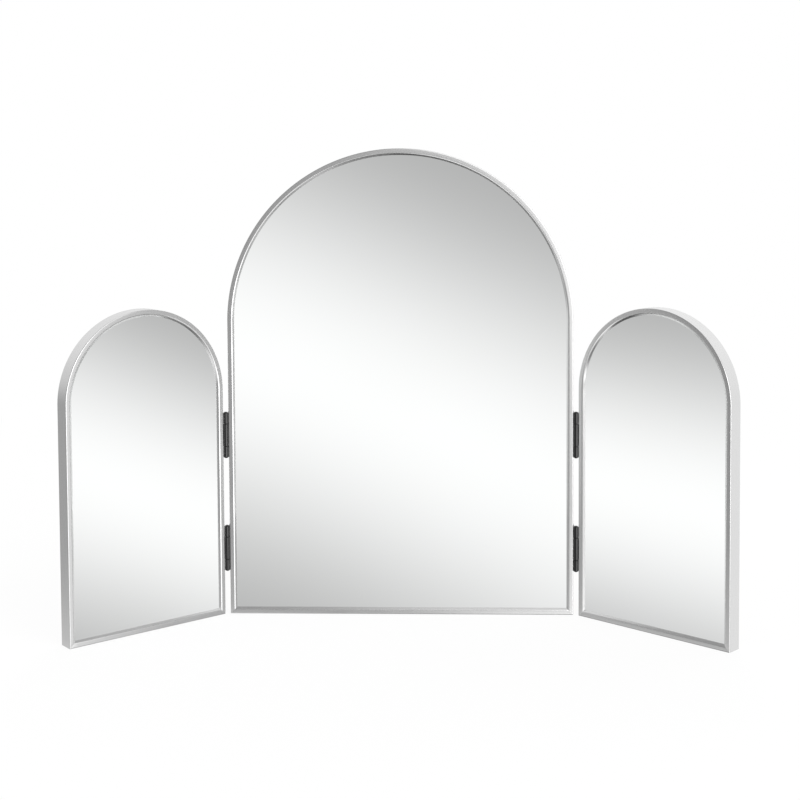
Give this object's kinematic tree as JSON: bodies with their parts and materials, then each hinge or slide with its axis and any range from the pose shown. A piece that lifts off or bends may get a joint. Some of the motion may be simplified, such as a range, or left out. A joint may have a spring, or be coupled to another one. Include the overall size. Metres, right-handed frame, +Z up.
{
  "type": "trifold bathroom mirror",
  "caption": "Arched bathroom mirror with a hinged arched wing on each side, in slim brushed metal frames; the wings swing forward to show side views.",
  "frame": {"origin": "middle of the centre panel's bottom face, which is the face it stands on", "axes": "+X across the centre panel to the viewer's right, +Y from the front to the back, +Z up"},
  "size_m": [0.9358, 0.1927, 0.6889],
  "materials": {
    "brushed_frame": "satin brushed silver",
    "mirror": "silvered float glass",
    "liner_card": "uncoated grey board",
    "backing_board": "raw fibreboard",
    "zinc_steel": "zinc plated",
    "spring_steel": "blued spring steel",
    "black_hinge": "black satin lacquer"
  },
  "bodies": {
    "centre": {"centre_frame_arch": "brushed_frame", "centre_frame_rail": "brushed_frame", "centre_mirror_glass": "mirror", "centre_liner": "liner_card", "centre_backing_board": "backing_board", "centre_corner_keys": "zinc_steel", "centre_key_screws": "zinc_steel", "centre_spring_strips": "spring_steel", "centre_hinge_screws": "black_hinge", "left_lower_hinge_centre_leaf": "black_hinge", "left_lower_hinge_pin": "black_hinge", "left_upper_hinge_centre_leaf": "black_hinge", "left_upper_hinge_pin": "black_hinge", "right_lower_hinge_centre_leaf": "black_hinge", "right_lower_hinge_pin": "black_hinge", "right_upper_hinge_centre_leaf": "black_hinge", "right_upper_hinge_pin": "black_hinge", "left_hanger_plate": "zinc_steel", "right_hanger_plate": "zinc_steel", "hanger_screws": "zinc_steel"},
    "left_wing": {"left_wing_frame_arch": "brushed_frame", "left_wing_frame_rail": "brushed_frame", "left_wing_mirror_glass": "mirror", "left_wing_liner": "liner_card", "left_wing_backing_board": "backing_board", "left_wing_corner_keys": "zinc_steel", "left_wing_key_screws": "zinc_steel", "left_wing_spring_strips": "spring_steel", "left_wing_hinge_screws": "black_hinge", "left_lower_hinge_wing_leaf": "black_hinge", "left_upper_hinge_wing_leaf": "black_hinge"},
    "right_wing": {"right_wing_frame_arch": "brushed_frame", "right_wing_frame_rail": "brushed_frame", "right_wing_mirror_glass": "mirror", "right_wing_liner": "liner_card", "right_wing_backing_board": "backing_board", "right_wing_corner_keys": "zinc_steel", "right_wing_key_screws": "zinc_steel", "right_wing_spring_strips": "spring_steel", "right_wing_hinge_screws": "black_hinge", "right_lower_hinge_wing_leaf": "black_hinge", "right_upper_hinge_wing_leaf": "black_hinge"}
  },
  "joints": [
    {"name": "left_wing_swing", "type": "hinge", "parent": "centre", "child": "left_wing", "pos_m": [-0.25775, -0.013, 0], "axis": [0, 0, 1], "range_deg": [-41, 139]},
    {"name": "right_wing_swing", "type": "hinge", "parent": "centre", "child": "right_wing", "pos_m": [0.25775, -0.013, 0], "axis": [0, 0, -1], "range_deg": [-41, 139]}
  ]
}
